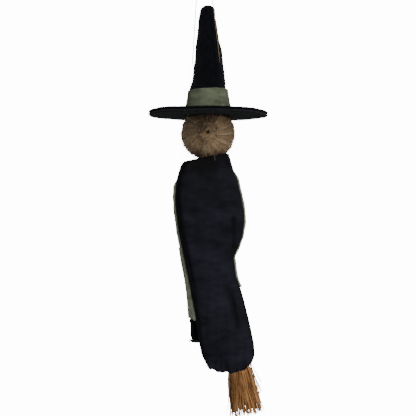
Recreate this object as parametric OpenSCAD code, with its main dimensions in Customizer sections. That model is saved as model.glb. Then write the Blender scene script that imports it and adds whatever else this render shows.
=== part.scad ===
// Hanging textile witch ornament that holds a broom.
// Millimetres, +Z up. The origin is the top of the thread loop, and the face looks along -Y.

/* [Thread loop] */
// Diameter of the thread
thread_d = 0.5; // [0.4:0.05:0.6]
// Height of the stitch above the brim
stitch_up = 27.5; // [24:0.5:30]

/* [Hat] */
// Height of the cone above the brim
hat_h = 63.5; // [50:0.5:78]
// Diameter of the cone at the brim
hat_d = 25; // [24:0.5:28]
// Diameter of the cone where its tip rounds off
tip_d = 8.8; // [7:0.2:9]
// Thickness of the cone's felt
cone_t = 1.2; // [0.8:0.1:2]
// Thickness of each felt layer of the brim
brim_t = 1.6; // [1:0.1:2]
// Diameter of the brim
brim_d = 70.8; // [54:0.5:90]
// Width of the velvet ribbon round the cone
band_w = 12.7; // [6:0.1:16]
// Thickness of the ribbon
band_t = 0.7; // [0.4:0.1:1.2]

/* [Head] */
// Diameter of the head ball
head_d = 30; // [26:0.5:32]
// Thickness of the wool hair on the ball
hair_t = 0.9; // [0.6:0.1:1.4]
// Distance from the brim's top down to the middle of the head
head_drop = 13.4; // [12:0.2:15]
// Diameter of the coiled bun
bun_d = 12.6; // [9:0.2:15]
// Diameter of the neck dowel
dowel_d = 4; // [3:0.1:5]

/* [Body] */
// Length of the stuffed body from the neck to the hips
body_len = 82; // [78:1:92]
// Width of the dress at its hem
hem_w = 31.8; // [31:0.2:34]
// Length of the skirt from the waist to the hem
skirt_len = 52; // [50:0.5:60]
// Thickness of the velvet dress
dress_t = 0.8; // [0.5:0.1:1.2]
// Lean of the stuffed body to the side
body_lean = 4.1; // [3.5:0.1:4.5]

/* [Cape] */
// Length of the cape at the middle of its hem
cape_len = 127; // [104:1:152]
// Width of the cape at the elbows
cape_w = 42; // [41:0.5:50]
// Depth of the cape behind the body at its fullest
cape_depth = 16.5; // [16:0.5:20]
// Thickness of the velvet cape
cape_t = 1.2; // [0.8:0.1:1.6]

/* [Arms] */
// Diameter of the wire through both arms
wire_d = 1.6; // [1.2:0.1:2]
// Diameter of the sleeves at the elbows
sleeve_d = 8.6; // [7:0.2:9]
// Diameter of the hands
hand_d = 8.4; // [7.6:0.2:9]

/* [Broom] */
// Length of the broom from the top of its stick to the bristles' ends
broom_len = 145; // [140:1:170]
// Diameter of the stick
stick_d = 4.4; // [3:0.1:5]
// Length of the bristles below the first binding
bristle_len = 46; // [38:1:52]
// Width of the bristles near their ends
bristle_w = 20; // [14:0.5:24]

/* [Legs] */
// Diameter of the stuffed legs
leg_d = 5.6; // [4.6:0.1:5.8]
// Height of the boots with their soles
boot_h = 14; // [12:0.5:16]
// Width of the boots
boot_w = 9.6; // [8.6:0.2:10.4]
// Thickness of the soles
sole_t = 1.2; // [0.8:0.1:1.6]

/* [Hidden] */

$fn = 64;
facet_fn = 32;       // for the balls of a hull
run_gap = 0.05;      // radial gap of a thread, wire or dowel that turns in its hole
slip_gap = 0.08;     // radial gap of the broom's stick in the hands
ease = 0.3;          // gap between pieces of different bodies

// Route of the thread, from the left stitch over the top to the right stitch
loop_route = [
  [5.6, -3.4, -71], [6, -3.7, -70.9], [6.3, -3.9, -70.6], [6.4, -4, -70.2], [6.4, -3.9, -69.5],
  [5.8, -3.6, -60], [5.2, -3.2, -50], [4.5, -2.8, -40], [3.9, -2.4, -30], [3.2, -2, -20],
  [2.6, -1.6, -10], [2.2, -1.3, -3], [1.9, -1.2, -1.6], [1.2, -0.7, -0.6], [0, 0, -0.25],
  [-1.2, 0.7, -0.6], [-1.9, 1.2, -1.6], [-2.2, 1.3, -3], [-3, 1.8, -10], [-4.2, 2.6, -20],
  [-5.4, 3.3, -30], [-6.5, 4, -40], [-7.7, 4.7, -50], [-8.9, 5.4, -60], [-10, 6.1, -69.5],
  [-10, 6.1, -70.2], [-9.9, 6, -70.6], [-9.6, 5.9, -70.9], [-9.2, 5.6, -71],
];
stitch_l = loop_route[0];
stitch_r = loop_route[len(loop_route) - 1];

// The hat stands a little beside the loop, so the figure's own axis is there too
hat_x = -3;
hat_y = -0.9;
body_y = 3;          // the body hangs this far behind the head's middle
hat_full = 63.5;      // hat height that stitch_up is for, so that the ends of the stitch meet the cone's side
brim_z = stitch_l.z - stitch_up * hat_h / hat_full;
tip_rise = 3.6;      // height of the rounded tip
head_z = brim_z - head_drop;
hair_r = head_d / 2 + hair_t;

// Shoulders, waist and hips, measured down from the head
neck_gap = 3.1;
core_top = head_z - head_d / 2 - neck_gap;
core_x = 2.3;
neck_x = 1.2;
shoulder_l = [12, 0, core_top - 5];
shoulder_r = [-8.2, 0, core_top - 2.2];
elbow_l = [14, -4, core_top - 22];
elbow_r = [-15.1, -4, core_top - 34];
skirt_top = core_top - 40.3;
hip_z = core_top - body_len;
hip_drop = 2;        // from the hips' middle to the legs' stitch
leg_pivot = hip_z - hip_drop;
hip_r = 4;
knuckle_r = 2.6;

// Line of the broom: a point on it at the upper hand, and its lean to the side
broom_at = [-1.8, -19, core_top - 19];
broom_lean = 9.3;
stick_up = 9.1;      // stick above the upper hand's middle
hand_step = 16.2;    // between the two hands along the stick

// Dress stations: drop below the top, middle, half width and half depth
bodice_rows = [
  [0, 2.3, 5.4, 5.2], [4, 2.2, 6.2, 6], [15, 1.4, 7.2, 6.8], [28, 0.6, 8, 7.6], [40, 0.4, 10.2, 9],
];
skirt_rows = [
  [0, 1.6, 11.6, 10.2], [0.1, 1.6, 0.84, 0.88], [0.2, 1.2, 0.95, 0.94], [0.35, 0.4, 0.93, 0.94],
  [0.55, -1.4, 0.93, 0.96], [0.8, -3.7, 0.96, 0.98], [1, -5, 1, 1],
];
hem_depth = 25;      // depth of the dress at its hem
skirt_y = -2;        // the skirt and the legs stand a little forward of the body

// Cape stations: share of the length, middle, share of the half width, share of the depth, and
// how far the front edges stand back, because the cape falls behind the skirt and the boots
cape_rows = [
  [0, -0.5, 0.57, 0.7, 0.5], [0.03, 1.4, 0.74, 0.78, 0.5], [0.1, 1, 0.88, 0.86, 0.5],
  [0.18, 0.3, 0.97, 0.92, 0.5], [0.3, -1, 1, 0.95, 0.5], [0.38, -0.9, 0.92, 0.85, 2.6],
  [0.46, 0.6, 0.79, 0.75, 5], [0.56, -1.5, 0.76, 0.7, 6.5], [0.67, -5, 0.78, 0.62, 8.2],
  [0.77, -8.3, 0.8, 0.52, 9.6], [0.89, -11.5, 0.77, 0.46, 10.6], [1, -12, 0.62, 0.4, 10.6],
];
cape_full = 127;      // length that the rows' shares are of, so that a shorter cape still clears the skirt
cape_top = core_top + 3.4;
cape_tilt = 0.18;    // rise of the cape's top edge towards the right
cape_curl = 8;       // how far its front edges turn round the sides, in degrees
cape_square = 0.8;   // below 1 the section is squarer than an ellipse
cape_cols = 30;

felt = "#15161d";
velvet = "#17161b";
sage = "#7d8268";
wool = "#93775a";
skin = "#e3c3a2";

module figure() {
  translate([hat_x, hat_y, 0]) children();
}

module body_place() {
  figure() translate([0, body_y, 0]) children();
}

module skirt_place() {
  body_place() translate([0, skirt_y, 0]) children();
}

module rod(a, b, r) {
  v = b - a;
  translate(a) rotate([0, acos(v.z / norm(v)), atan2(v.y, v.x)]) cylinder(r = r, h = norm(v));
}

// Column col of a table of stations at height t, with straight lines between the rows
function at(rows, t, col) = lookup(t, [for (row = rows) [row[0], row[col]]]);
function power(v, p) = sign(v) * pow(abs(v), p);
function unit(v) = v / norm(v);

// A closed solid from rings of points, each ring clockwise about the way to the next.
// A folded ring goes out along one face of a sheet and comes back along the other.
module loft(rings, folded = false) {
  n = len(rings[0]);
  last = len(rings) - 1;
  walls = [
    for (i = [0 : last - 1], j = [0 : n - 1])
      [i * n + j, i * n + (j + 1) % n, (i + 1) * n + (j + 1) % n, (i + 1) * n + j]
  ];
  flat_caps = [[for (j = [n - 1 : -1 : 0]) j], [for (j = [0 : n - 1]) last * n + j]];
  strip_caps = [
    for (j = [0 : n / 2 - 2], cap = [
      [n - 1 - j, n - 2 - j, j + 1, j],
      [last * n + j, last * n + j + 1, last * n + n - 2 - j, last * n + n - 1 - j]
    ]) cap
  ];
  polyhedron([for (ring = rings) for (p = ring) p], concat(walls, folded ? strip_caps : flat_caps));
}

function oval(c, hw, hd, z, n) = [
  for (j = [0 : n - 1]) [c + hw * cos(360 * j / n), hd * sin(360 * j / n), z]
];

// ---- thread ----
module hanging_loop() {
  sides = 8;
  last = len(loop_route) - 1;
  across = unit(cross(stitch_r - stitch_l, [0, 0, 1]));
  color("#8a774c") loft([
    for (i = [0 : last])
      let (t = unit(loop_route[min(i + 1, last)] - loop_route[max(i - 1, 0)]), side = cross(t, across))
        [for (j = [0 : sides - 1])
          loop_route[i] + thread_d / 2 * (across * cos(360 * j / sides) - side * sin(360 * j / sides))]
  ]);
}

module loop_knot() {
  color("#8a774c") translate(loop_route[18]) sphere(d = thread_d * 3);
}

module thread_crossing() {
  color("#8a774c") rod(stitch_l, stitch_r, thread_d / 2);
}

module thread_hole() {
  reach = 3 * unit(stitch_r - stitch_l);
  rod(stitch_l - reach, stitch_r + reach, thread_d / 2 + run_gap);
}

// ---- hat ----
function cone_r(z) = hat_d / 2 - (hat_d - tip_d) / 2 * z / (hat_h - tip_rise);

module cone_solid(inset) {
  top_r = tip_d / 2 - inset;
  shoulder = hat_h - tip_rise;
  rotate_extrude() polygon(concat(
    [[0, 0], [hat_d / 2 - inset, 0]],
    [for (a = [0 : 15 : 90]) [top_r * cos(a), shoulder + (tip_rise - inset) * sin(a)]]
  ));
}

module hat_cone() {
  color(felt) difference() {
    figure() translate([0, 0, brim_z]) difference() {
      cone_solid(0);
      cone_solid(cone_t);
    }
    thread_hole();
  }
}

module hat_stuffing() {
  clear_of_head = head_d / 2 - head_drop + 0.8;
  color("#e9e6dc") difference() {
    figure() translate([0, 0, brim_z]) difference() {
      cone_solid(cone_t + 0.1);
      translate([0, 0, -1]) cylinder(d = hat_d + 2, h = clear_of_head + 1);
    }
    thread_hole();
  }
}

// One felt ring whose hole just lets the hair through
module brim_layer(layer) {
  low = head_drop - (layer + 1) * brim_t;
  hole_r = sqrt(hair_r * hair_r - low * low) + 0.1;
  figure() translate([0, 0, brim_z - (layer + 1) * brim_t]) rotate_extrude()
    polygon([[hole_r, 0], [brim_d / 2, 0], [brim_d / 2, brim_t], [hole_r, brim_t]]);
}

module brim_upper() {
  color(felt) brim_layer(0);
}

module brim_lower() {
  color("#22242b") brim_layer(1);
}

module ribbon(start, sweep, lift) {
  figure() translate([0, 0, brim_z]) rotate([0, 0, start]) rotate_extrude(angle = sweep) polygon([
    [cone_r(0) + lift, 0.1], [cone_r(0) + lift + band_t, 0.1],
    [cone_r(band_w) + lift + band_t, band_w], [cone_r(band_w) + lift, band_w]
  ]);
}

module hat_band() {
  color(sage) ribbon(0, 360, 0.05);
}

module band_lap() {
  color(sage) ribbon(62, 58, 0.1 + band_t);
}

// ---- head ----
module head_ball() {
  color(skin) difference() {
    figure() translate([0, 0, head_z]) sphere(d = head_d);
    dowel_hole(1);
  }
}

module dowel_hole(end_gap) {
  body_place() translate([neck_x, 0, core_top - 10.5])
    cylinder(d = dowel_d + 2 * run_gap, h = head_z - core_top + 12 + end_gap);
}

module nose() {
  length = 5;
  color(skin) figure() translate([0, -head_d / 2 + 0.6, head_z - 1.5]) rotate([98, 0, 0])
    rotate_extrude() polygon([[0, 0], [1.7, 0], [1.2, length * 0.6], [0.6, length], [0, length + 0.3]]);
}

module eye_beads() {
  color("black") for (side = [-1, 1]) figure()
    translate([0, 0, head_z + 1.2]) rotate([0, 0, side * 21]) translate([0, -head_d / 2 + 0.1, 0])
      sphere(d = 2, $fn = 32);
}

module hair_cap() {
  face_r = 10.2;
  hair_low = 11.8;   // the wool ends here, clear of the cape's top edge
  color(wool) figure() difference() {
    translate([0, 0, head_z]) sphere(r = hair_r);
    translate([0, 0, head_z]) sphere(d = head_d + 0.04);
    translate([0, 0, head_z - 1]) rotate([90, 0, 0]) cylinder(r = face_r, h = head_d);
    translate([0, 0, brim_z - brim_t + 0.1]) cylinder(d = head_d, h = head_d);
    translate([0, 0, head_z - head_d]) cylinder(d = head_d + 10, h = head_d - hair_low);
  }
}

module hair_bun() {
  color(wool) figure() translate([0, hair_r + 0.1, head_z]) rotate([-90, 0, 0]) rotate_extrude()
    polygon(concat([[0, 0]], [for (a = [0 : 12 : 84]) [bun_d / 2 * cos(a), bun_d * 0.4 * sin(a)]],
      [[0, bun_d * 0.4]]));
}

// ---- body ----
module neck_dowel() {
  color("#c9a06c") difference() {
    body_place() translate([neck_x, 0, core_top - 10]) cylinder(d = dowel_d, h = head_z - core_top + 11.5);
    shoulder_hole();
  }
}

module shoulder_hole() {
  reach = 4 * unit(shoulder_l - shoulder_r);
  body_place() rod(shoulder_r - reach, shoulder_l + reach, wire_d / 2 + run_gap);
}

module body_core() {
  top_r = 4.3;
  low_r = 7.1;
  core_len = body_len - hip_r - 0.5;
  color("#d8d2c4") difference() {
    body_place() translate([core_x, 0, core_top]) rotate([0, body_lean, 0]) rotate_extrude()
      polygon([[0, 0], [top_r - 1.6, 0], [top_r, -1.6], [top_r + 0.7, -6], [top_r + 1.8, -17],
        [low_r - 0.3, -30], [low_r, -42], [low_r, -core_len], [0, -core_len]]);
    body_place() translate([neck_x, 0, core_top - 10]) cylinder(d = dowel_d, h = 20);
    shoulder_hole();
  }
}

// Left and right places of the legs, where the hips and the stitch follow them
leg_l = 6.2;
leg_r = -13.4;
slot_w = leg_d + 0.8;
cheek = 0.4;

module hip_pad() {
  low_x = leg_r - slot_w / 2 - cheek;
  high_x = leg_l + slot_w / 2 + cheek;
  color("#d8d2c4") skirt_place() difference() {
    translate([low_x, 0, hip_z]) rotate([0, 90, 0]) cylinder(r = hip_r, h = high_x - low_x);
    for (x = [leg_l, leg_r])
      translate([x - slot_w / 2, -2 * hip_r, leg_pivot - 2 * hip_r])
        cube([slot_w, 4 * hip_r, 2 * hip_r + knuckle_r + ease]);
    translate([low_x - 1, 0, leg_pivot]) rotate([0, 90, 0]) cylinder(d = thread_d * 1.6, h = high_x - low_x + 2);
  }
}

module hip_thread() {
  low_x = leg_r - slot_w / 2 - cheek;
  high_x = leg_l + slot_w / 2 + cheek;
  color("#e9e6dc") skirt_place() translate([low_x, 0, leg_pivot]) rotate([0, 90, 0])
    cylinder(d = thread_d * 1.6, h = high_x - low_x);
}

module dress_bodice() {
  n = 32;
  color(sage) difference() {
    body_place() difference() {
      loft([for (row = bodice_rows) oval(row[1], row[2], row[3], core_top - row[0], n)]);
      loft([for (row = bodice_rows)
        oval(row[1], row[2] - dress_t, row[3] - dress_t, core_top - row[0] + (row[0] == 0 ? 0.5 : -0.01), n)]);
    }
    shoulder_hole();
  }
}

function skirt_ring(row, inset, z) = let (first = row[0] == 0)
  oval(row[1], (first ? row[2] : row[2] * hem_w / 2) - inset, (first ? row[3] : row[3] * hem_depth / 2) - inset, z, 36);

module dress_skirt() {
  color(sage) skirt_place() difference() {
    loft([for (row = skirt_rows) skirt_ring(row, 0, skirt_top - row[0] * skirt_len)]);
    loft([for (row = skirt_rows)
      skirt_ring(row, dress_t, skirt_top - row[0] * skirt_len + (row[0] == 0 ? 0.5 : row[0] == 1 ? -0.5 : 0))]);
  }
}

// ---- cape ----
// Point of the cape's section: turn runs from the left front edge (0) round the back to the right one (1)
function cape_point(t, turn, inset) = let (
  a = -cape_curl + turn * (180 + 2 * cape_curl),
  down = t * cape_len / cape_full,
  c = at(cape_rows, down, 1),
  hw = at(cape_rows, down, 2) * cape_w / 2 - inset,
  hd = at(cape_rows, down, 3) * cape_depth - inset,
  x = c + hw * power(cos(a), cape_square),
  y = at(cape_rows, down, 4) + hd * power(sin(a), cape_square),
  edge = pow(abs(2 * turn - 1), 4),
  side_rise = cape_len * (turn < 0.5 ? 0.15 : 0.09) * edge
) [x, y, cape_top - cape_tilt * x * (1 - t) - t * (cape_len - side_rise)];

module cape() {
  shares = [for (i = [0 : 22]) i / 22];
  n = 2 * (cape_cols + 1);
  color(velvet) body_place() loft([
    for (t = shares) concat(
      [for (j = [0 : cape_cols]) cape_point(t, j / cape_cols, 0)],
      [for (j = [cape_cols : -1 : 0]) cape_point(t, j / cape_cols, cape_t)])
  ], folded = true);
}

tie_z = core_top - 0.5;
tie_r = 13.8;

module cape_tie() {
  color("black") body_place() translate([1.2, 0, tie_z]) rotate([0, 0, 180]) rotate_extrude(angle = 180)
    translate([tie_r, 0]) circle(d = 1, $fn = 24);
}

module tie_bow() {
  wing = 5.5;
  color("black") body_place() translate([1.2, -tie_r - 0.8, tie_z]) rotate([90, 0, 0]) linear_extrude(1.6)
    polygon([[-wing, 1.5], [-1, 0.7], [1, 0.7], [wing, 1.5], [wing, -1.5], [1, -0.7], [-1, -0.7], [-wing, -1.5]]);
}

// ---- arms ----
// Point on the stick's middle line, a distance down from the upper hand
function on_stick(down) = broom_at - down * [sin(broom_lean), 0, cos(broom_lean)];
palm_l = on_stick(0);
palm_r = on_stick(hand_step);
wrist_gap = 8.3;
wrist_l = palm_l + wrist_gap * unit(elbow_l - palm_l);
wrist_r = palm_r + wrist_gap * unit(elbow_r - palm_r);

module arm_wire() {
  wire_r = wire_d / 2;
  bend_r = wire_r + 0.1;
  grip = stick_d / 2 + 0.6;
  color("#b9b9b4") body_place() {
    rod(shoulder_r, shoulder_l, wire_r);
    for (arm = [[shoulder_l, elbow_l, palm_l], [shoulder_r, elbow_r, palm_r]]) {
      rod(arm[0], arm[1], wire_r);
      rod(arm[1], arm[2] + grip * unit(arm[1] - arm[2]), wire_r);
      translate(arm[0]) sphere(r = bend_r);
      translate(arm[1]) sphere(r = bend_r);
    }
  }
}

module sleeve(shoulder, elbow, wrist) {
  shoulder_d = 6;
  cuff_d = 7.2;
  color(sage) body_place() {
    hull() {
      translate(shoulder) sphere(d = shoulder_d, $fn = facet_fn / 2);
      translate(elbow) sphere(d = sleeve_d, $fn = facet_fn / 2);
    }
    hull() {
      translate(elbow) sphere(d = sleeve_d, $fn = facet_fn / 2);
      translate(wrist) sphere(d = cuff_d, $fn = facet_fn / 2);
    }
  }
}

module sleeve_left() {
  sleeve(shoulder_l, elbow_l, wrist_l);
}

module sleeve_right() {
  sleeve(shoulder_r, elbow_r, wrist_r);
}

module hand(palm) {
  color(skin) body_place() difference() {
    translate(palm) sphere(d = hand_d);
    stick_line(stick_d / 2 + slip_gap, -20, 60);
  }
}

module stick_line(r, from, to) {
  rod(on_stick(to), on_stick(from), r);
}

module hand_left() {
  hand(palm_l);
}

module hand_right() {
  hand(palm_r);
}

// ---- broom ----
bristle_end = broom_len - stick_up;
bristle_top = bristle_end - bristle_len;

module along_stick(down) {
  translate(on_stick(down)) rotate([0, broom_lean, 0]) children();
}

module broom_stick() {
  color("#8a5f3a") body_place() stick_line(stick_d / 2, -stick_up, bristle_top + bristle_len * 0.3);
}

function bristle_r(down) = let (neck = stick_d / 2 + 1.6)
  neck + (bristle_w / 2 - neck) * pow(min(1, down / (bristle_len * 0.78)), 0.8);

module broom_bristles() {
  color("#a8692f") body_place() difference() {
    along_stick(bristle_top) rotate_extrude() polygon(concat(
      [[0, 0]],
      [for (i = [0 : 6]) let (down = i / 6 * bristle_len * 0.92) [bristle_r(down), -down]],
      [[bristle_r(bristle_len) * 0.55, -bristle_len], [0, -bristle_len]]
    ));
    stick_line(stick_d / 2, -stick_up, bristle_top + bristle_len * 0.3);
  }
}

module binding(down, height) {
  inner_top = bristle_r(down) + 0.05;
  inner_low = bristle_r(down + height) + 0.05;
  color("#6d4a2a") body_place() along_stick(bristle_top + down) rotate_extrude()
    polygon([[inner_top, 0], [inner_top + 0.9, 0], [inner_low + 0.9, -height], [inner_low, -height]]);
}

module binding_upper() {
  binding(1.5, 3);
}

module binding_lower() {
  binding(7.5, 2);
}

// ---- legs ----
hem_z = skirt_top - skirt_len;
foot_z = hem_z - boot_h - 0.6;

module leg(x) {
  color("#3a3c34") skirt_place() difference() {
    union() {
      translate([x - leg_d / 2, 0, leg_pivot]) rotate([0, 90, 0]) cylinder(r = knuckle_r, h = leg_d);
      translate([x, 0, foot_z + sole_t + 3]) cylinder(d = leg_d - 0.2, h = leg_pivot - foot_z - sole_t - 3);
    }
    translate([x - leg_d, 0, leg_pivot]) rotate([0, 90, 0])
      cylinder(d = thread_d * 1.6 + 2 * run_gap, h = 2 * leg_d);
  }
}

toe_y = -5.6;
toe_d = 7;

module sole_outline() {
  hull() {
    circle(d = boot_w);
    translate([0, toe_y]) circle(d = toe_d);
  }
}

module boot(x) {
  color("#14141a") skirt_place() translate([x, 0, foot_z]) difference() {
    union() {
      translate([0, 0, sole_t]) cylinder(d = boot_w - 0.4, h = boot_h - sole_t);
      hull() {
        translate([0, 0, sole_t]) cylinder(d = boot_w - 0.4, h = 5, $fn = facet_fn);
        translate([0, toe_y, sole_t]) cylinder(d = toe_d - 0.4, h = 2.6, $fn = facet_fn);
      }
    }
    translate([0, 0, sole_t + 3]) cylinder(d = leg_d - 0.2, h = boot_h);
  }
}

module sole(x) {
  color("#5a5c4c") skirt_place() translate([x, 0, foot_z]) linear_extrude(sole_t) sole_outline();
}

module leg_left() {
  leg(leg_l);
}

module boot_left() {
  boot(leg_l);
}

module sole_left() {
  sole(leg_l);
}

module leg_right() {
  leg(leg_r);
}

module boot_right() {
  boot(leg_r);
}

module sole_right() {
  sole(leg_r);
}

hanging_loop();
loop_knot();
thread_crossing();
hat_cone();
hat_stuffing();
brim_upper();
brim_lower();
hat_band();
band_lap();
head_ball();
nose();
eye_beads();
hair_cap();
hair_bun();
neck_dowel();
body_core();
hip_pad();
hip_thread();
dress_bodice();
dress_skirt();
cape();
cape_tie();
tie_bow();
arm_wire();
sleeve_left();
sleeve_right();
hand_left();
hand_right();
broom_stick();
broom_bristles();
binding_upper();
binding_lower();
leg_left();
boot_left();
sole_left();
leg_right();
boot_right();
sole_right();
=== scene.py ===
"""Hanging textile witch: felt hat on a thread loop, wool hair, velvet dress and cape, and a broom."""
import math

import bmesh
import bpy
import numpy as np
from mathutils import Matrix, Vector


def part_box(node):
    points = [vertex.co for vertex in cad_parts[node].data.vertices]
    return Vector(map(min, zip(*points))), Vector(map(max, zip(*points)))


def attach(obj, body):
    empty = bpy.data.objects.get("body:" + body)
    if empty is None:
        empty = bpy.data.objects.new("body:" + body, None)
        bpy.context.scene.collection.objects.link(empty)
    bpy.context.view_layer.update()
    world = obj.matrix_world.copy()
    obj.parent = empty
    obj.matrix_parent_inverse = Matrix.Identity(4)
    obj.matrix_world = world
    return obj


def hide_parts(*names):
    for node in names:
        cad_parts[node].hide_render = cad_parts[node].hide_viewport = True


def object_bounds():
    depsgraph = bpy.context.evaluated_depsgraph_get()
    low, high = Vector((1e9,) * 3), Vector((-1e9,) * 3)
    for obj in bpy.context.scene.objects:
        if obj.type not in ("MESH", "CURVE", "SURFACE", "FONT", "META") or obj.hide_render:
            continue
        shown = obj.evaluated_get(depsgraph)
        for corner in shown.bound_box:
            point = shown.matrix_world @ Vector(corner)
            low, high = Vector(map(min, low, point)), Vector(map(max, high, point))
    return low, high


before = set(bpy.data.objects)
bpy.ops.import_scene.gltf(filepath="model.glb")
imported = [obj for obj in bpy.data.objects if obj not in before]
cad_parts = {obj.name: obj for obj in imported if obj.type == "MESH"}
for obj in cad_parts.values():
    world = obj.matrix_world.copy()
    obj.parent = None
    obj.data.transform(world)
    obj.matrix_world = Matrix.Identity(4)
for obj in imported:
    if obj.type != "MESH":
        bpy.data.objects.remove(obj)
cad_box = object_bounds()
mm = 0.001


# ---- studio ----
# Plain pale room: one large soft lamp above, two fainter ones at the sides, and a camera level with
# the middle of the figure, which looks at its back.
def from_node(name):
    """The middle of a CAD node's box, with its lowest and highest corner."""
    low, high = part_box(name)
    return (low + high) / 2, low, high


def half_width(name):
    """Half of a CAD node's size across the figure, in millimetres."""
    low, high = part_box(name)
    return (high.x - low.x) / 2 / mm


def linear(hex_colour):
    """An sRGB hex colour as linear red, green, blue and full alpha."""
    s = np.array([int(hex_colour[i:i + 2], 16) for i in (1, 3, 5)]) / 255
    lin = np.where(s <= 0.04045, s / 12.92, ((s + 0.055) / 1.055) ** 2.4)
    return (*lin.tolist(), 1.0)


def add(tree, kind, inputs=None, **props):
    """Adds one node: props are its own settings, and an input that is a socket is linked."""
    node = tree.nodes.new(kind)
    for name, value in props.items():
        setattr(node, name, value)
    for name, value in (inputs or {}).items():
        if isinstance(value, bpy.types.NodeSocket):
            tree.links.new(value, node.inputs[name])
        else:
            node.inputs[name].default_value = value
    return node


hat_mid, hat_low, hat_high = from_node("hat_cone")
head_mid = from_node("head_ball")[0]
neck_mid, neck_low, _ = from_node("neck_dowel")
axis_x, axis_y = hat_mid.x, hat_mid.y
body_y = neck_mid.y
camera_distance = 620 * mm
picture_width = 249.6 * mm
camera_drop = 121.6 * mm
camera_z = hat_high.z - camera_drop

camera = bpy.data.objects.new("camera", bpy.data.cameras.new("camera"))
bpy.context.scene.collection.objects.link(camera)
camera.location = (axis_x, axis_y + camera_distance, camera_z)
camera.rotation_euler = (math.pi / 2, 0, math.pi)
camera.data.sensor_width = 36
camera.data.lens = 36 * camera_distance / picture_width
camera.data.clip_end = 20
bpy.context.scene.camera = camera

world = bpy.data.worlds.new("pale_room")
bpy.context.scene.world = world
world.use_nodes = True
world.node_tree.nodes.clear()
sky = add(world.node_tree, "ShaderNodeBackground", {"Color": linear("#ffffff"), "Strength": 14.0})
room = add(world.node_tree, "ShaderNodeBackground", {"Color": linear("#eef1f6"), "Strength": 0.25})
seen = add(world.node_tree, "ShaderNodeLightPath")
either = add(world.node_tree, "ShaderNodeMixShader",
             {0: seen.outputs["Is Camera Ray"], 1: room.outputs[0], 2: sky.outputs[0]})
add(world.node_tree, "ShaderNodeOutputWorld", {"Surface": either.outputs[0]})

floor_size = 2.5
floor_drop = 0.8
floor_mesh = bpy.data.meshes.new("floor")
floor_z = cad_box[0].z - floor_drop
corners = [(-1, -1), (1, -1), (1, 1), (-1, 1)]
floor_mesh.from_pydata([(x * floor_size, y * floor_size, floor_z) for x, y in corners], [], [(0, 1, 2, 3)])
floor = bpy.data.objects.new("floor", floor_mesh)
bpy.context.scene.collection.objects.link(floor)
pale = bpy.data.materials.new("pale_paper")
pale.use_nodes = True
pale.node_tree.nodes["Principled BSDF"].inputs["Base Color"].default_value = linear("#f6f6f4")
pale.node_tree.nodes["Principled BSDF"].inputs["Roughness"].default_value = 0.9
floor_mesh.materials.append(pale)


def lamp(name, place, size, power):
    """A square soft lamp that faces the middle of the figure."""
    data = bpy.data.lights.new(name, "AREA")
    data.size = size
    data.energy = power
    obj = bpy.data.objects.new(name, data)
    bpy.context.scene.collection.objects.link(obj)
    obj.location = place
    aim = Vector((axis_x, axis_y, camera_z)) - Vector(place)
    obj.rotation_euler = aim.to_track_quat("-Z", "Y").to_euler()


lamp("top_soft", (-0.1, 0.75, 0.6), 0.6, 10)
lamp("side_soft", (-0.75, 0.65, 0.0), 0.5, 3)
lamp("face_soft", (-0.2, -0.9, 0.35), 0.7, 8)


# ---- thread loop ----
# A limp metallic thread, twisted from two plies, sewn once through the cone and joined above by a
# small knot. It is one line from stitch to stitch over the hook.
def full_turn(count):
    """Evenly spaced angles once round, as one row."""
    return np.linspace(0, 2 * np.pi, count, endpoint=False)[None, :]


def mark(mesh, name, values):
    """Keeps a value for each vertex under a name that the material reads."""
    mesh.attributes.new(name, "FLOAT", "POINT").data.foreach_set("value", values.astype(np.float32))


def grid_mesh(name, points, wrap_u=False, wrap_v=False):
    """A mesh from points[row, column]: quads join each point to the next column and the next row.

    A wrapped direction joins its last points to its first. Points that coincide become one, and
    the faces are turned outwards.
    """
    rows, cols = points.shape[:2]
    r, c = np.meshgrid(np.arange(rows - 1 + wrap_v), np.arange(cols - 1 + wrap_u), indexing="ij")
    r2, c2 = (r + 1) % rows, (c + 1) % cols
    quads = np.stack([r * cols + c, r * cols + c2, r2 * cols + c2, r2 * cols + c], -1).reshape(-1, 4)
    mesh = bpy.data.meshes.new(name)
    mesh.from_pydata(points.reshape(-1, 3).tolist(), [], quads.tolist())
    joined = bmesh.new()
    joined.from_mesh(mesh)
    bmesh.ops.remove_doubles(joined, verts=joined.verts, dist=1e-7)
    bmesh.ops.recalc_face_normals(joined, faces=joined.faces)
    joined.to_mesh(mesh)
    joined.free()
    mesh.polygons.foreach_set("use_smooth", np.ones(len(mesh.polygons), bool))
    mesh.update()
    return mesh


def place(mesh, material, body, slot, *replaced):
    """Puts a finished mesh in the scene, riding on a body in place of the CAD solids named."""
    mesh.materials.append(material)
    obj = bpy.data.objects.new(mesh.name, mesh)
    bpy.context.scene.collection.objects.link(obj)
    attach(obj, body)
    if replaced:
        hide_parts(*replaced)
    return obj


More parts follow.
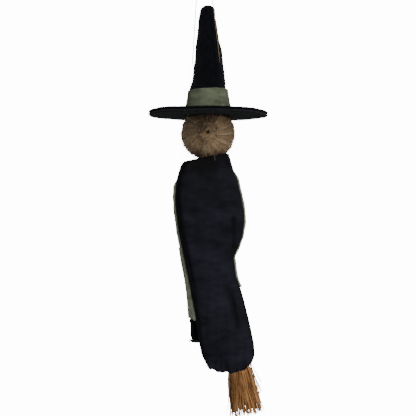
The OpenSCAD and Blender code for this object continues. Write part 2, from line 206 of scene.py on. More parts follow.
def strands(name, paths, radius, sides=3, tint=None):
    """One mesh of many thin tubes. paths is [tube, point, xyz] and radius [tube, point].

    Each ring lies across the path's direction, found from the neighbouring points; the ends are
    closed by a radius that falls to almost nothing. tint is one value per tube, kept as the
    attribute that the material reads.
    """
    count, length = paths.shape[:2]
    along = np.gradient(paths, axis=1)
    along /= np.linalg.norm(along, axis=2, keepdims=True) + 1e-12
    helper = np.where(np.abs(along[..., 2:3]) > 0.9, [1.0, 0.0, 0.0], [0.0, 0.0, 1.0])
    side = np.cross(along, helper)
    side /= np.linalg.norm(side, axis=2, keepdims=True) + 1e-12
    other = np.cross(along, side)
    angle = np.arange(sides) * 2 * np.pi / sides
    ring = side[:, :, None] * np.cos(angle)[:, None] + other[:, :, None] * np.sin(angle)[:, None]
    points = paths[:, :, None] + ring * radius[:, :, None, None]
    t, p, s = np.meshgrid(np.arange(count), np.arange(length - 1), np.arange(sides), indexing="ij")
    base = (t * length + p) * sides
    s2 = (s + 1) % sides
    quads = np.stack([base + s, base + s2, base + sides + s2, base + sides + s], -1).reshape(-1, 4)
    mesh = bpy.data.meshes.new(name)
    faces = quads.tolist()
    starts = np.arange(count) * length * sides
    faces += (starts[:, None] + np.arange(sides)[::-1]).tolist()
    faces += (starts[:, None] + (length - 1) * sides + np.arange(sides)).tolist()
    mesh.from_pydata(points.reshape(-1, 3).tolist(), [], faces)
    if tint is not None:
        mark(mesh, "tint", np.repeat(tint, length * sides))
    mesh.polygons.foreach_set("use_smooth", np.ones(len(mesh.polygons), bool))
    mesh.update()
    return mesh


def new_material(name, roughness, **shader):
    """A material with a Principled shader, whose plain settings are given by name with underscores.

    Returns the material, its node tree, the shader, and the object's own coordinates.
    """
    material = bpy.data.materials.new(name)
    material.use_nodes = True
    bsdf = material.node_tree.nodes["Principled BSDF"]
    bsdf.inputs["Roughness"].default_value = roughness
    for key, value in shader.items():
        bsdf.inputs[key.replace("_", " ").title().replace("Ior", "IOR")].default_value = value
    where = add(material.node_tree, "ShaderNodeTexCoord").outputs["Object"]
    return material, material.node_tree, bsdf, where


def mixed(tree, factor, low, high):
    """A colour that runs from one hex colour to another with the factor."""
    mix = add(tree, "ShaderNodeMix", data_type="RGBA")
    tree.links.new(factor, mix.inputs["Factor"])
    mix.inputs["A"].default_value = linear(low) if isinstance(low, str) else (0, 0, 0, 1)
    if not isinstance(low, str):
        tree.links.new(low, mix.inputs["A"])
    mix.inputs["B"].default_value = linear(high)
    return mix.outputs["Result"]


def paint(tree, bsdf, factor, low, high):
    """Colours the surface from one colour to another with the factor."""
    tree.links.new(mixed(tree, factor, low, high), bsdf.inputs["Base Color"])


def spread(tree, value, low, high):
    """Stretches a pattern so that low becomes 0 and high becomes 1."""
    node = add(tree, "ShaderNodeMapRange", {"Value": value, "From Min": low, "From Max": high}, clamp=True)
    return node.outputs["Result"]


def noise(tree, coordinate, size, detail=3.0, rough=0.55):
    """Cloudy pattern whose blobs are about size metres wide."""
    look = {"Vector": coordinate, "Scale": 1 / size, "Detail": detail, "Roughness": rough}
    return add(tree, "ShaderNodeTexNoise", look).outputs["Fac"]


def bands(tree, coordinate, size, wobble, direction):
    """Parallel bands across a direction, their pitch set by size in metres and bent by wobble."""
    look = {"Vector": coordinate, "Scale": 1 / size, "Distortion": wobble}
    return add(tree, "ShaderNodeTexWave", look, bands_direction=direction).outputs["Fac"]


def stretched(tree, coordinate, scale):
    """A coordinate whose pattern is drawn out along the axes with a small scale."""
    return add(tree, "ShaderNodeMapping", {"Vector": coordinate, "Scale": scale}).outputs[0]


def bumped(tree, bsdf, height, depth, strength=1.0):
    """Raises the surface by a pattern, depth metres high, and returns the node."""
    bump = add(tree, "ShaderNodeBump", {"Height": height, "Distance": depth, "Strength": strength})
    tree.links.new(bump.outputs[0], bsdf.inputs["Normal"])
    return bump


# Metallic thread: a yarn wrapped in gilt film. It glitters dully along its plies, 0.6 mm apart.
gilt, tree, bsdf, where = new_material("gilt_thread", 0.42, metallic=0.75)
ply = bands(tree, where, 2.4 * mm, 1.5, "Z")
paint(tree, bsdf, ply, "#3c3222", "#85734c")
bumped(tree, bsdf, ply, 0.05 * mm)

loop_route = np.array([
    [5.6, -3.4, -71], [6, -3.7, -70.9], [6.3, -3.9, -70.6], [6.4, -4, -70.2], [6.4, -3.9, -69.5],
    [5.8, -3.6, -60], [5.2, -3.2, -50], [4.5, -2.8, -40], [3.9, -2.4, -30], [3.2, -2, -20],
    [2.6, -1.6, -10], [2.2, -1.3, -3], [1.9, -1.2, -1.6], [1.2, -0.7, -0.6], [0, 0, -0.25],
    [-1.2, 0.7, -0.6], [-1.9, 1.2, -1.6], [-2.2, 1.3, -3], [-3, 1.8, -10], [-4.2, 2.6, -20],
    [-5.4, 3.3, -30], [-6.5, 4, -40], [-7.7, 4.7, -50], [-8.9, 5.4, -60], [-10, 6.1, -69.5],
    [-10, 6.1, -70.2], [-9.9, 6, -70.6], [-9.6, 5.9, -70.9], [-9.2, 5.6, -71],
]) * mm
thread_d = 0.5 * mm


def along_route(points, spacing):
    """Evenly spaced points along a broken line, found from its running length."""
    steps = np.linalg.norm(np.diff(points, axis=0), axis=1)
    run = np.concatenate([[0], np.cumsum(steps)])
    wanted = np.linspace(0, run[-1], int(run[-1] / spacing) + 1)
    return np.stack([np.interp(wanted, run, points[:, i]) for i in range(3)], -1), run[-1]


loop_path, loop_length = along_route(loop_route, 1.0 * mm)
for _ in range(2):
    loop_path[1:-1] = (loop_path[:-2] + 2 * loop_path[1:-1] + loop_path[2:]) / 4
loop_mesh = strands("thread_loop", loop_path[None], np.full((1, len(loop_path)), thread_d / 2), sides=8)
thread_loop = place(loop_mesh, gilt, "hanger", "gold_thread", "hanging_loop")
knot_mid = from_node("loop_knot")[0]
turn = np.linspace(0, 2 * np.pi, 33)
knot_r = 0.42 * mm
knot_path = np.stack([
    knot_mid.x + knot_r * (np.sin(turn) + 0.9 * np.sin(2 * turn)),
    knot_mid.y + knot_r * 0.6 * np.sin(3 * turn),
    knot_mid.z + knot_r * (np.cos(turn) - 0.9 * np.cos(2 * turn)),
], -1)
knot_mesh = strands("thread_knot", knot_path[None], np.full((1, len(turn)), thread_d * 0.45), sides=8)
thread_knot = place(knot_mesh, gilt, "hanger", "gold_thread", "loop_knot")


def dress_node(node, material):
    """Gives a CAD solid that stays in sight its finished material."""
    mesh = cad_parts[node].data
    mesh.materials.clear()
    mesh.materials.append(material)


dress_node("thread_crossing", gilt)


# ---- hat cone ----
# One piece of thick wool felt, rolled into a cone with its edge lapped over itself, and lumpy and
# fuzzy as pressed wool is. Short loose fibres stand out of it.
def spot(x, y, z):
    """Points in metres from millimetres beside the figure's own upright axis."""
    x, y, z = np.broadcast_arrays(x, y, z)
    return np.stack([x * mm + axis_x, y * mm + axis_y, z * mm], -1)


def uneven(seed, wave, *coords):
    """Smooth seeded unevenness, about -1 to 1: sines of the coordinates, wave units long."""
    rng = np.random.default_rng(seed)
    total = 0
    for _ in range(7):
        way = rng.normal(size=len(coords))
        way *= 2 * np.pi / (wave * rng.uniform(0.7, 1.5) * np.linalg.norm(way))
        total = total + np.sin(sum(w * c for w, c in zip(way, coords)) + rng.uniform(0, 6.3))
    return total / 3.5


def smooth(x):
    """0 below 0, 1 above 1, and an S curve between."""
    x = np.clip(x, 0, 1)
    return x * x * (3 - 2 * x)


def fuzz(name, roots, away, length, radius, seed):
    """Loose fibres: each leaves its root roughly along away, length long at most, and curls."""
    rng = np.random.default_rng(seed)
    count = len(roots)
    way = away + rng.normal(size=(count, 3)) * 0.6
    way /= np.linalg.norm(way, axis=1, keepdims=True)
    curl = rng.normal(size=(count, 3)) * 0.55
    reach = (length * rng.uniform(0.35, 1, count))[:, None, None]
    t = np.linspace(0, 1, 6)[:, None]
    paths = roots[:, None] - 0.2 * mm * way[:, None] + reach * (way[:, None] * t + curl[:, None] * t ** 2)
    thin = radius * (1 - 0.7 * t[:, 0])
    return strands(name, paths, np.broadcast_to(thin, paths.shape[:2]), tint=rng.random(count))


def felt_material(name, dark, light, fleck):
    """Pressed wool: cloudy dye, single paler hairs, and a lumpy, matted face."""
    material, tree, bsdf, where = new_material(
        name, 0.95, sheen_weight=0.03, sheen_roughness=0.6, specular_ior_level=0.08)
    cloud = noise(tree, where, 2.2 * mm, 4)
    hair = noise(tree, stretched(tree, where, (1, 1, 0.35)), 0.35 * mm, 5, 0.7)
    base = mixed(tree, spread(tree, cloud, 0.35, 0.68), dark, light)
    paint(tree, bsdf, spread(tree, hair, 0.6, 0.78), base, fleck)
    bumped(tree, bsdf, hair, 0.35 * mm, 0.9)
    return material


# Black felt dyed blue-black, and the brim's greyer underside.
black_felt = felt_material("black_wool_felt", "#020205", "#080910", "#1a1d28")
grey_felt = felt_material("grey_black_felt", "#101214", "#1f2226", "#34383d")

brim_z = hat_low.z / mm
cone_h = (hat_high.z - hat_low.z) / mm
base_r = half_width("hat_cone")
tip_r = 4.4
tip_rise = 3.6
lap_angle = math.radians(116)


def cone_radius(h):
    """Radius of the cone's outer face at a height above the brim, in millimetres."""
    straight = base_r - (base_r - tip_r) * h / (cone_h - tip_rise)
    over = np.clip((h - (cone_h - tip_rise)) / tip_rise, 0, 1)
    return np.where(over > 0, tip_r * np.sqrt(1 - over ** 2), straight)


def cone_face(angle, h):
    """Points of the lumpy outer face: the lap stands 0.8 mm proud of what it covers, and fades out."""
    past = (angle - lap_angle) % (2 * np.pi)
    lap = 0.8 * (1 - smooth(past / 1.3)) - 0.3 * np.exp(-((2 * np.pi - past) / 0.1) ** 2)
    steady = np.clip(cone_radius(h) / tip_r, 0, 1)
    lump = 0.32 * uneven(3, 14, angle * 10, h) + 0.14 * uneven(4, 4, angle * 10, h)
    r = cone_radius(h) + steady * (lump + lap * smooth((h - 2) / 8))
    lean = 0.35 * uneven(6, 60, h)
    return r * np.cos(angle) + lean, r * np.sin(angle) + 0.6 * lean, brim_z + h


angle = full_turn(180)
rise = np.concatenate([np.linspace(0, cone_h - tip_rise, 90),
                       cone_h - tip_rise * (1 - np.sin(np.linspace(0.1, 1.57, 14)))])
cone_points = spot(*cone_face(angle, rise[:, None]))
cone_mesh = grid_mesh("felt_cone", cone_points, wrap_u=True)
felt_cone = place(cone_mesh, black_felt, "head", "black_felt", "hat_cone")

cone_hairs, rim_hairs, felt_hair_r = 1500, 1300, 0.03 * mm
fuzz_rng = np.random.default_rng(11)
fuzz_angle = fuzz_rng.uniform(0, 2 * np.pi, cone_hairs)
fuzz_h = cone_h - (cone_h - 9) * np.sqrt(fuzz_rng.uniform(0.002, 1, cone_hairs))
fuzz_roots = spot(*cone_face(fuzz_angle, fuzz_h))
fuzz_away = np.stack([np.cos(fuzz_angle), np.sin(fuzz_angle), np.where(fuzz_h > cone_h - 5, 0.8, 0.1)], -1)
place(fuzz("cone_fuzz", fuzz_roots, fuzz_away, 2.1 * mm, felt_hair_r, 12), black_felt, "head", "black_felt")

# Stuffing: loose white fibre that fills the cone above the head.
fibre, tree, bsdf, where = new_material("white_fibrefill", 0.9, sheen_weight=0.3)
paint(tree, bsdf, noise(tree, where, 1.5 * mm), "#d9d6cc", "#f2f0ea")
bumped(tree, bsdf, noise(tree, where, 0.5 * mm, 6), 0.4 * mm)
dress_node("hat_stuffing", fibre)


# ---- brim ----
# Two flat felt rings cut by hand, one on the other: edges soft and a little wavy, and the right
# side hangs lower.
def brim_ring(name, node, hole_r, seed):
    """A felt ring with a rounded rim: rows go round its section, columns round the hat."""
    _, low, high = from_node(node)
    top, thick = high.z / mm, (high.z - low.z) / mm
    rim_r = half_width(node)
    out = np.linspace(hole_r, rim_r - thick / 2, 26)
    edge = np.linspace(np.pi / 2, -np.pi / 2, 9)
    r = np.concatenate([out, rim_r - thick / 2 + thick / 2 * np.cos(edge), out[::-1]])
    z = np.concatenate([np.full(26, top), top - thick / 2 + thick / 2 * np.sin(edge), np.full(26, top - thick)])
    angle = full_turn(200)
    share = ((r - hole_r) / (rim_r - hole_r))[:, None]
    cut = 0.35 * uneven(seed, 30, angle * rim_r) + 0.12 * uneven(seed + 1, 5, angle * rim_r)
    r = r[:, None] + share * cut
    sag = 0.3 * uneven(seed + 20, 40, r * np.cos(angle), r * np.sin(angle)) + 0.35 * np.cos(angle)
    lump = 0.1 * uneven(seed + 3, 4, r * np.cos(angle), r * np.sin(angle), z[:, None] * 2)
    height = z[:, None] + share * (sag * 0.8) + lump
    return grid_mesh(name, spot(r * np.cos(angle), r * np.sin(angle), height), wrap_u=True, wrap_v=True)


hair_r = half_width("hair_cap")
head_z = head_mid.z / mm
brim_t = (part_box("brim_upper")[1].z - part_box("brim_upper")[0].z) / mm
upper_hole, lower_hole = (math.sqrt(hair_r ** 2 - (brim_z - n * brim_t - head_z) ** 2) + 0.1 for n in (1, 2))
place(brim_ring("brim_top_layer", "brim_upper", upper_hole, 31), black_felt, "head", "black_felt", "brim_upper")
place(brim_ring("brim_under_layer", "brim_lower", lower_hole, 31), grey_felt, "head", "brim_felt", "brim_lower")
rim_r = half_width("brim_upper")
fuzz_angle = fuzz_rng.uniform(0, 2 * np.pi, rim_hairs)
rim_down = fuzz_rng.uniform(0.1, 2 * brim_t, rim_hairs)
rim_roots = spot(rim_r * np.cos(fuzz_angle), rim_r * np.sin(fuzz_angle), brim_z - rim_down)
rim_away = np.stack([np.cos(fuzz_angle), np.sin(fuzz_angle), fuzz_rng.uniform(-0.5, 0.5, rim_hairs)], -1)
place(fuzz("brim_fuzz", rim_roots, rim_away, 1.5 * mm, felt_hair_r, 13), black_felt, "head", "black_felt")


# ---- hat band ----
# A velvet ribbon wound once round the cone and past its own start, so its last stretch lies on
# the first. It sits on the brim, and its top edge dips on one side.
def velvet(name, deep, lit, sheen, crush):
    """Velvet: short pile whose colour shifts with the way that it was brushed, in soft patches. Where
    a piece's per-vertex shade attribute is 1, its colour is painted almost black, as painted shade."""
    material, tree, bsdf, where = new_material(
        name, 0.85, sheen_weight=sheen, sheen_roughness=0.35, specular_ior_level=0.15)
    patch = noise(tree, stretched(tree, where, (0.5, 0.5, 1.2)), crush, 4, 0.6)
    pile = noise(tree, stretched(tree, where, (0.45, 0.45, 1)), 0.5 * mm, 5, 0.7)
    base = mixed(tree, spread(tree, patch, 0.32, 0.7), deep, lit)
    base = mixed(tree, spread(tree, pile, 0.52, 0.72), base, lit)
    # Painted shade: a per-vertex attribute darkens the colour towards near black.
    painted_shade = add(tree, "ShaderNodeAttribute", attribute_name="painted_shade").outputs["Fac"]
    base = mixed(tree, painted_shade, base, "#020203")
    tree.links.new(base, bsdf.inputs["Base Color"])
    bsdf.inputs["Sheen Tint"].default_value = linear(lit)
    bumped(tree, bsdf, pile, 0.22 * mm, 0.7)
    return material


def shell(name, face, thickness, wrap_u=False):
    """A closed cloth from the grid of its outer face: the other face lies inside it along the
    grid's normals, thickness away, and a rounded edge joins the two at each border."""
    def step(points, axis, wrapped):
        if wrapped:
            return np.roll(points, -1, axis) - np.roll(points, 1, axis)
        return np.gradient(points, axis=axis)
    normal = np.cross(step(face, 1, wrap_u), step(face, 0, False))
    normal /= np.linalg.norm(normal, axis=2, keepdims=True) + 1e-15
    outward = (normal * (face - face.mean(1, keepdims=True))).sum(2).mean()
    normal *= np.sign(outward)
    back = face - normal * thickness
    middle = (face + back) / 2
    if not wrap_u:
        sides = [middle[:, [i]] + (middle[:, [i]] - middle[:, [j]])
                 / (np.linalg.norm(middle[:, [i]] - middle[:, [j]], axis=2, keepdims=True) + 1e-15)
                 * thickness / 2 for i, j in ((0, 1), (-1, -2))]
        face, back, middle = (np.concatenate([sides[0], m, sides[1]], 1) for m in (face, back, middle))
    lip = [middle[i] + (middle[i] - middle[j])
           / (np.linalg.norm(middle[i] - middle[j], axis=1, keepdims=True) + 1e-15)
           * thickness / 2 for i, j in ((-1, -2), (0, 1))]
    ring = np.concatenate([face, lip[0][None], back[::-1], lip[1][None]], 0)
    return grid_mesh(name, ring, wrap_u=wrap_u, wrap_v=True)


# The same sage velvet as the dress, in a darker copy for the ribbon.
ribbon_velvet = velvet("sage_velvet_ribbon", "#3f4435", "#666c58", 0.15, 5 * mm)

_, band_low, band_high = from_node("hat_band")
ribbon_w = (band_high.z - band_low.z) / mm
ribbon_t = 0.55
lap_from = math.radians(119)
lap_turn = math.radians(57)
turned = np.linspace(0, 2 * np.pi + lap_turn, 240)[None, :]
up = np.linspace(0, 1, 26)[:, None]
ribbon_angle = lap_from - turned
outside = 1.9 - 0.6 * smooth((turned - 0.8) / 0.7)
curl_up = 0.35 * np.exp(-(turned / 0.05) ** 2)
dip = -0.55 * np.cos(ribbon_angle) - 0.35
wrinkle = (0.16 * uneven(41, 9, turned * 14, up * 6)
           + 0.22 * np.exp(-((up - 0.2) / 0.2) ** 2) * uneven(42, 6, turned * 14))
ribbon_h = 0.15 + up * (ribbon_w + dip + 0.12 * uneven(43, 12, turned * 14))
ribbon_r = cone_radius(ribbon_h) + outside + curl_up + wrinkle * smooth(turned / 0.2) + 0.35 * (1 - up) ** 2
ribbon_face = spot(ribbon_r * np.cos(ribbon_angle), ribbon_r * np.sin(ribbon_angle), brim_z + ribbon_h)
ribbon = shell("hat_ribbon", ribbon_face, ribbon_t * mm)
ribbon = place(ribbon, ribbon_velvet, "head", "sage_velvet", "hat_band", "band_lap")
around = 2 * np.pi * (base_r + 0.3) * (1 + lap_turn / 2 / np.pi)


# ---- head ----
# A turned wooden ball in a warm skin tone with a small nose, two bead eyes, and a calm mouth and
# brows painted on with a fine brush; the cheeks are tinted.
head_r = half_width("head_ball")
skin, tree, bsdf, where = new_material(
    "painted_skin_wood", 0.55, subsurface_weight=0.05, subsurface_radius=(0.002, 0.001, 0.0005))
grain = noise(tree, stretched(tree, where, (1, 1, 0.12)), 0.8 * mm, 4)
tone = mixed(tree, spread(tree, grain, 0.35, 0.7), "#c9a07a", "#d6b08b")
for cheek_x in (-7.5, 7.5):
    cheek = spot(cheek_x, -12.2, head_z - 3.5)
    far = add(tree, "ShaderNodeVectorMath", {0: where, 1: cheek.tolist()}, operation="DISTANCE").outputs["Value"]
    fading = {"Value": far, "From Min": 4 * mm, "From Max": 0.5 * mm, "To Max": 0.55}
    blush = add(tree, "ShaderNodeMapRange", fading, clamp=True).outputs["Result"]
    tone = mixed(tree, blush, tone, "#b8604c")
tree.links.new(tone, bsdf.inputs["Base Color"])
bumped(tree, bsdf, grain, 0.03 * mm)
for node in ("head_ball", "nose"):
    dress_node(node, skin)

glass, tree, bsdf, where = new_material("black_glass_bead", 0.08, coat_weight=0.6)
paint(tree, bsdf, noise(tree, where, 0.6 * mm), "#020203", "#0b0a0c")
dress_node("eye_beads", glass)


def on_face(across, up, lift=0.12):
    """A point on the face, by its place across and above the head's middle in millimetres."""
    across, up = np.broadcast_arrays(across, up)
    return spot(across, -np.sqrt((head_r + lift) ** 2 - across ** 2 - up ** 2), head_z + up)


sweep = np.linspace(-1, 1, 21)
brow = [on_face(side * (5.1 + 1.9 * sweep), 4.1 - 0.7 * sweep ** 2 - 0.2 * sweep) for side in (-1, 1)]
smile = on_face(2.7 * sweep, -6.6 + 0.75 * sweep ** 2)
brush = 0.16 * mm * np.sqrt(1.02 - sweep ** 2)
ink, tree, bsdf, where = new_material("brown_paint", 0.5)
paint(tree, bsdf, noise(tree, where, 0.5 * mm), "#3a2116", "#573325")
place(strands("brows", np.stack(brow), np.broadcast_to(brush, (2, 21)), 8), ink, "head", "bead_black")
place(strands("mouth", smile[None], brush[None] * 0.9, 8), ink, "head", "bead_black")


# ---- hair ----
# Combed wool roving laid over the ball from a small coil at the back: locks of fine strands that
# fan out all round and turn under the hat. The coil is one twisted hank wound up as a snail.
wool, tree, bsdf, where = new_material("wool_roving", 0.75, sheen_weight=0.15)
tint = add(tree, "ShaderNodeAttribute", attribute_name="tint").outputs["Fac"]
shade = add(tree, "ShaderNodeValToRGB", {"Fac": tint})
for place_at, tone in ((0.0, "#4a3828"), (0.45, "#ab8d68"), (0.8, "#d0b48c")):
    stop = shade.color_ramp.elements.new(place_at)
    stop.color = linear(tone)
shade.color_ramp.elements.remove(shade.color_ramp.elements[0])
shade.color_ramp.elements[-1].color = linear("#dcc6a4")
streak = noise(tree, where, 1.6 * mm, 3)
paint(tree, bsdf, spread(tree, streak, 0.5, 0.9), shade.outputs[0], "#d8c09c")
bumped(tree, bsdf, noise(tree, where, 0.2 * mm), 0.05 * mm)

rng = np.random.default_rng(21)
bun_at = (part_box("hair_bun")[0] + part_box("hair_bun")[1]) / 2
bun_r = half_width("hair_bun")
under_brim = brim_z - 2 * brim_t - 0.15


def over_head(away, round_y, lift):
    """A point over the ball: away is the angle from straight back, round_y the direction there."""
    r = head_r + lift
    z = r * np.sin(away) * np.sin(round_y)
    x = r * np.sin(away) * np.cos(round_y)
    y = r * np.cos(away)
    room = np.minimum(z, under_brim - head_z - 0.35 * (lift > 0.6))
    return spot(x, y, head_z + room)


cap_away = np.linspace(0.0, 2.35, 50)[:, None]
cap_round = full_turn(140)
cap_lift = 0.35 + 0.3 * uneven(22, 0.5, cap_round * 3, cap_away * 0.3)
cap_mesh = grid_mesh("hair_underlayer", over_head(cap_away, cap_round, cap_lift), wrap_u=True)
# Painted shade: the underlayer is tinted darker than the locks, so that it shows as shade between them.
mark(cap_mesh, "tint", np.full(len(cap_mesh.vertices), 0.25))
place(cap_mesh, wool, "head", "wool_roving", "hair_cap")

locks, per_lock, steps = 110, 24, 13
lock_round = np.linspace(0, 2 * np.pi, locks, endpoint=False) + rng.normal(0, 0.07, locks)
lock_end = rng.uniform(1.95, 2.4, locks)
lock_end = np.where(np.sin(lock_round) < -0.7, rng.uniform(1.45, 1.75, locks), lock_end)
lock_lift = rng.uniform(0.5, 1.25, locks)
lock_curve = rng.normal(0, 0.16, locks)
lock_tint = np.clip(rng.normal(0.6, 0.13, locks), 0.05, 1)
t = np.linspace(0, 1, steps)[None, None, :]
off = rng.normal(0, 1.5, (locks, per_lock, 1))
fan = rng.normal(0, 1, (locks, per_lock, 1))
rise = np.abs(rng.normal(0, 0.35, (locks, per_lock, 1)))
away = 0.16 + (lock_end[:, None, None] * rng.uniform(0.85, 1.03, (locks, per_lock, 1)) - 0.16) * t
spin = (lock_round[:, None, None] + 0.035 * off + lock_curve[:, None, None] * t ** 2 + 0.05 * fan * t
        + 0.35 * (1 - t) ** 2)
lift = lock_lift[:, None, None] * (0.55 + 0.45 * np.sin(np.pi * t)) + rise * t * 0.9 - 0.035 * off ** 2
paths = over_head(away, spin, np.clip(lift, 0.2, 2.2)).reshape(-1, steps, 3)
hair_tint = np.clip(lock_tint[:, None] + rng.normal(0, 0.13, (locks, per_lock)), 0, 1).ravel()
hair_radius = np.broadcast_to(0.085 * mm * (1 - 0.55 * t[0, 0] ** 3), (locks * per_lock, steps))
place(strands("hair_locks", paths, hair_radius, 3, hair_tint), wool, "head", "wool_roving")

coil_steps, coil_strands = 60, 130
t = np.linspace(0, 1, coil_steps)
wind = 0.4 + 2 * np.pi * 1.5 * t
coil_r = (bun_r - 1.5) * (0.06 + 0.94 * np.sqrt(t))
coil_y = hair_r + 0.9 + 2.2 * (1 - t) ** 1.3 + 0.4 * np.sin(wind * 1.3)
centre = spot(coil_r * np.cos(wind), coil_y, head_z + coil_r * np.sin(wind))
along = np.gradient(centre, axis=0)
along /= np.linalg.norm(along, axis=1, keepdims=True)
out = np.cross(along, [0, 1.0, 0])
out /= np.linalg.norm(out, axis=1, keepdims=True)
over = np.cross(out, along)
bundle = 1.95 * mm * np.sqrt(rng.uniform(0.25, 1, coil_strands))[:, None]
lay = rng.uniform(0, 2 * np.pi, coil_strands)[:, None] + 5.5 * t[None] + rng.normal(0, 0.35, (coil_strands, 1)) * t
swell = (bundle * np.sqrt(np.minimum(t / 0.1 + 0.01, 1)) * (0.75 + 0.35 * np.sin(np.pi * t))
         * (1 + 0.12 * np.sin(7 * t + lay[:, :1])))
paths = centre[None] + swell[..., None] * (np.cos(lay)[..., None] * out + np.sin(lay)[..., None] * over)
# Painted shade: the coil's strands are tinted darker than the locks, as the shade under the brim, with a random
# spread of their own.
coil_shaded_tint = np.clip(rng.normal(0.38, 0.16, coil_strands), 0.05, 1)
coil = strands("hair_coil", paths, np.full(paths.shape[:2], 0.13 * mm), 3, coil_shaded_tint)
place(coil, wool, "head", "wool_roving", "hair_bun")
core_angle = np.linspace(0, 2 * np.pi, 10, endpoint=False)
core_way = np.cos(core_angle)[:, None] * out[:, None] + np.sin(core_angle)[:, None] * over[:, None]
core_ring = centre[:, None] + 1.3 * mm * np.minimum(t / 0.1, 1)[:, None, None] * core_way
core_mesh = grid_mesh("hair_coil_core", core_ring, wrap_u=True)
# Painted shade: the coil's core is tinted dark, as the shade in the middle of the coil.
mark(core_mesh, "tint", np.full(len(core_mesh.vertices), 0.2))
place(core_mesh, wool, "head", "wool_roving")

stray = 620
stray_away = rng.uniform(0.3, 2.1, stray)
stray_round = np.where(rng.random(stray) < 0.75, rng.uniform(-2.9, -0.2, stray), rng.uniform(0, 2 * np.pi, stray))
stray_from = over_head(stray_away, stray_round, np.full(stray, 1.0))
stray_out = stray_from - spot(0, 0, head_z)
stray_out /= np.linalg.norm(stray_out, axis=1, keepdims=True)
stray_side = np.cross(stray_out, [0, 1.0, 0]) * rng.choice([-1, 1], stray)[:, None]
low_brim = stray_from[:, 2] < (under_brim - 3) * mm
stray_way = (0.5 * stray_out + 0.9 * stray_side)[low_brim]
hair_fuzz = fuzz("hair_flyaways", stray_from[low_brim], stray_way, 5.2 * mm, 0.07 * mm, 24)
place(hair_fuzz, wool, "head", "wool_roving")


# ---- body ----
# A neck dowel glued into the ball, a stuffed muslin bag for the trunk and a stuffed hip roll, seen
# only from below or when the dress is lifted. The legs hang on one thread through the roll.
beech, tree, bsdf, where = new_material("beech_dowel", 0.5)
grain = noise(tree, stretched(tree, where, (1, 1, 0.06)), 0.5 * mm, 5)
paint(tree, bsdf, spread(tree, grain, 0.35, 0.65), "#a87c4c", "#cda574")
bumped(tree, bsdf, grain, 0.05 * mm)
dress_node("neck_dowel", beech)

muslin, tree, bsdf, where = new_material("muslin", 0.9, sheen_weight=0.1)
weave = bands(tree, where, 3 * mm, 3.0, "Z")
paint(tree, bsdf, weave, "#bdb5a3", "#dcd6c8")
bumped(tree, bsdf, weave, 0.08 * mm)
dress_node("hip_thread", muslin)


def stuffed(name, middle, half, lump, seed):
    """A stuffed bag: a rounded, lumpy barrel about middle, half its size each way (millimetres)."""
    around = full_turn(48)
    tall = np.linspace(-1, 1, 40)[:, None]
    girth = (1 - np.abs(tall) ** 6) ** 0.5 + 0.02
    puff = 1 - lump * (0.5 + 0.5 * uneven(seed, 6, around * 5, tall * half[2]))
    x = middle[0] + half[0] * girth * puff * np.cos(around)
    y = middle[1] + half[1] * girth * puff * np.sin(around)
    return grid_mesh(name, spot(x, y, middle[2] + half[2] * tall + 0 * around), wrap_u=True)


for node, name, seed in (("body_core", "stuffed_trunk", 51), ("hip_pad", "stuffed_hips", 52)):
    middle, low, high = from_node(node)
    raised = 1 if node == "hip_pad" else 0
    inside = [(middle.x - axis_x) / mm, (middle.y - axis_y) / mm, middle.z / mm + raised]
    half = [half_width(node) * 0.82, (high.y - low.y) / 2 / mm * 0.95, (high.z - low.z) / 2 / mm - raised]
    bag = place(stuffed(name, inside, half, 0.08, seed), muslin, "torso", "body_cloth", node)


# ---- dress ----
# Sage velvet: a close bodice, sleeves gathered at the wrists, and a straight skirt gathered into
# the waist seam whose folds open towards the hem.
def stations(rows, at):
    """The columns of a table of stations, read at other heights with straight lines between."""
    rows = np.array(rows, float)
    order = np.argsort(rows[:, 0])
    return [np.interp(at, rows[order, 0], rows[order, i]) for i in range(1, rows.shape[1])]


body_in = (body_y - axis_y) / mm
bodice_top, bodice_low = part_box("dress_bodice")[1].z / mm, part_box("dress_bodice")[0].z / mm
skirt_mid, skirt_low, skirt_high = from_node("dress_skirt")
waist_z, hem_z = skirt_high.z / mm, skirt_low.z / mm
skirt_in = (skirt_mid.y - axis_y) / mm
dress_t = 0.6

# Drop below the neck, middle, half width and half depth of the bodice.
bodice_rows = [[0, 2.3, 5.7, 5.4], [4, 2.2, 6.2, 6], [15, 1.4, 7.2, 6.8], [28, 0.6, 8, 7.6], [40, 0.4, 10.2, 9]]
turn = full_turn(120)
fall = np.linspace(0, bodice_top - bodice_low, 60)[:, None]
middle, wide, deep = stations(bodice_rows, fall)
gather = (0.22 * np.sin(23 * turn + np.sin(3 * turn)) * smooth((fall - 26) / 12)
          + 0.12 * uneven(61, 5, turn * 7, fall))
x = middle + (wide + gather - 0.2) * np.cos(turn)
y = body_in + (deep + gather - 0.2) * np.sin(turn)
bodice = shell("bodice", spot(x, y, bodice_top - fall), dress_t * mm, wrap_u=True)
# The same sage velvet in a lighter copy for the dress, sleeves and cape facing; its extra
# lightness is painted light, so that the facing strips on the cape's dim sides show.
sage_velvet = velvet("sage_velvet", "#70765f", "#9ca28b", 0.3, 5 * mm)
bodice = place(bodice, sage_velvet, "torso", "sage_velvet", "dress_bodice")

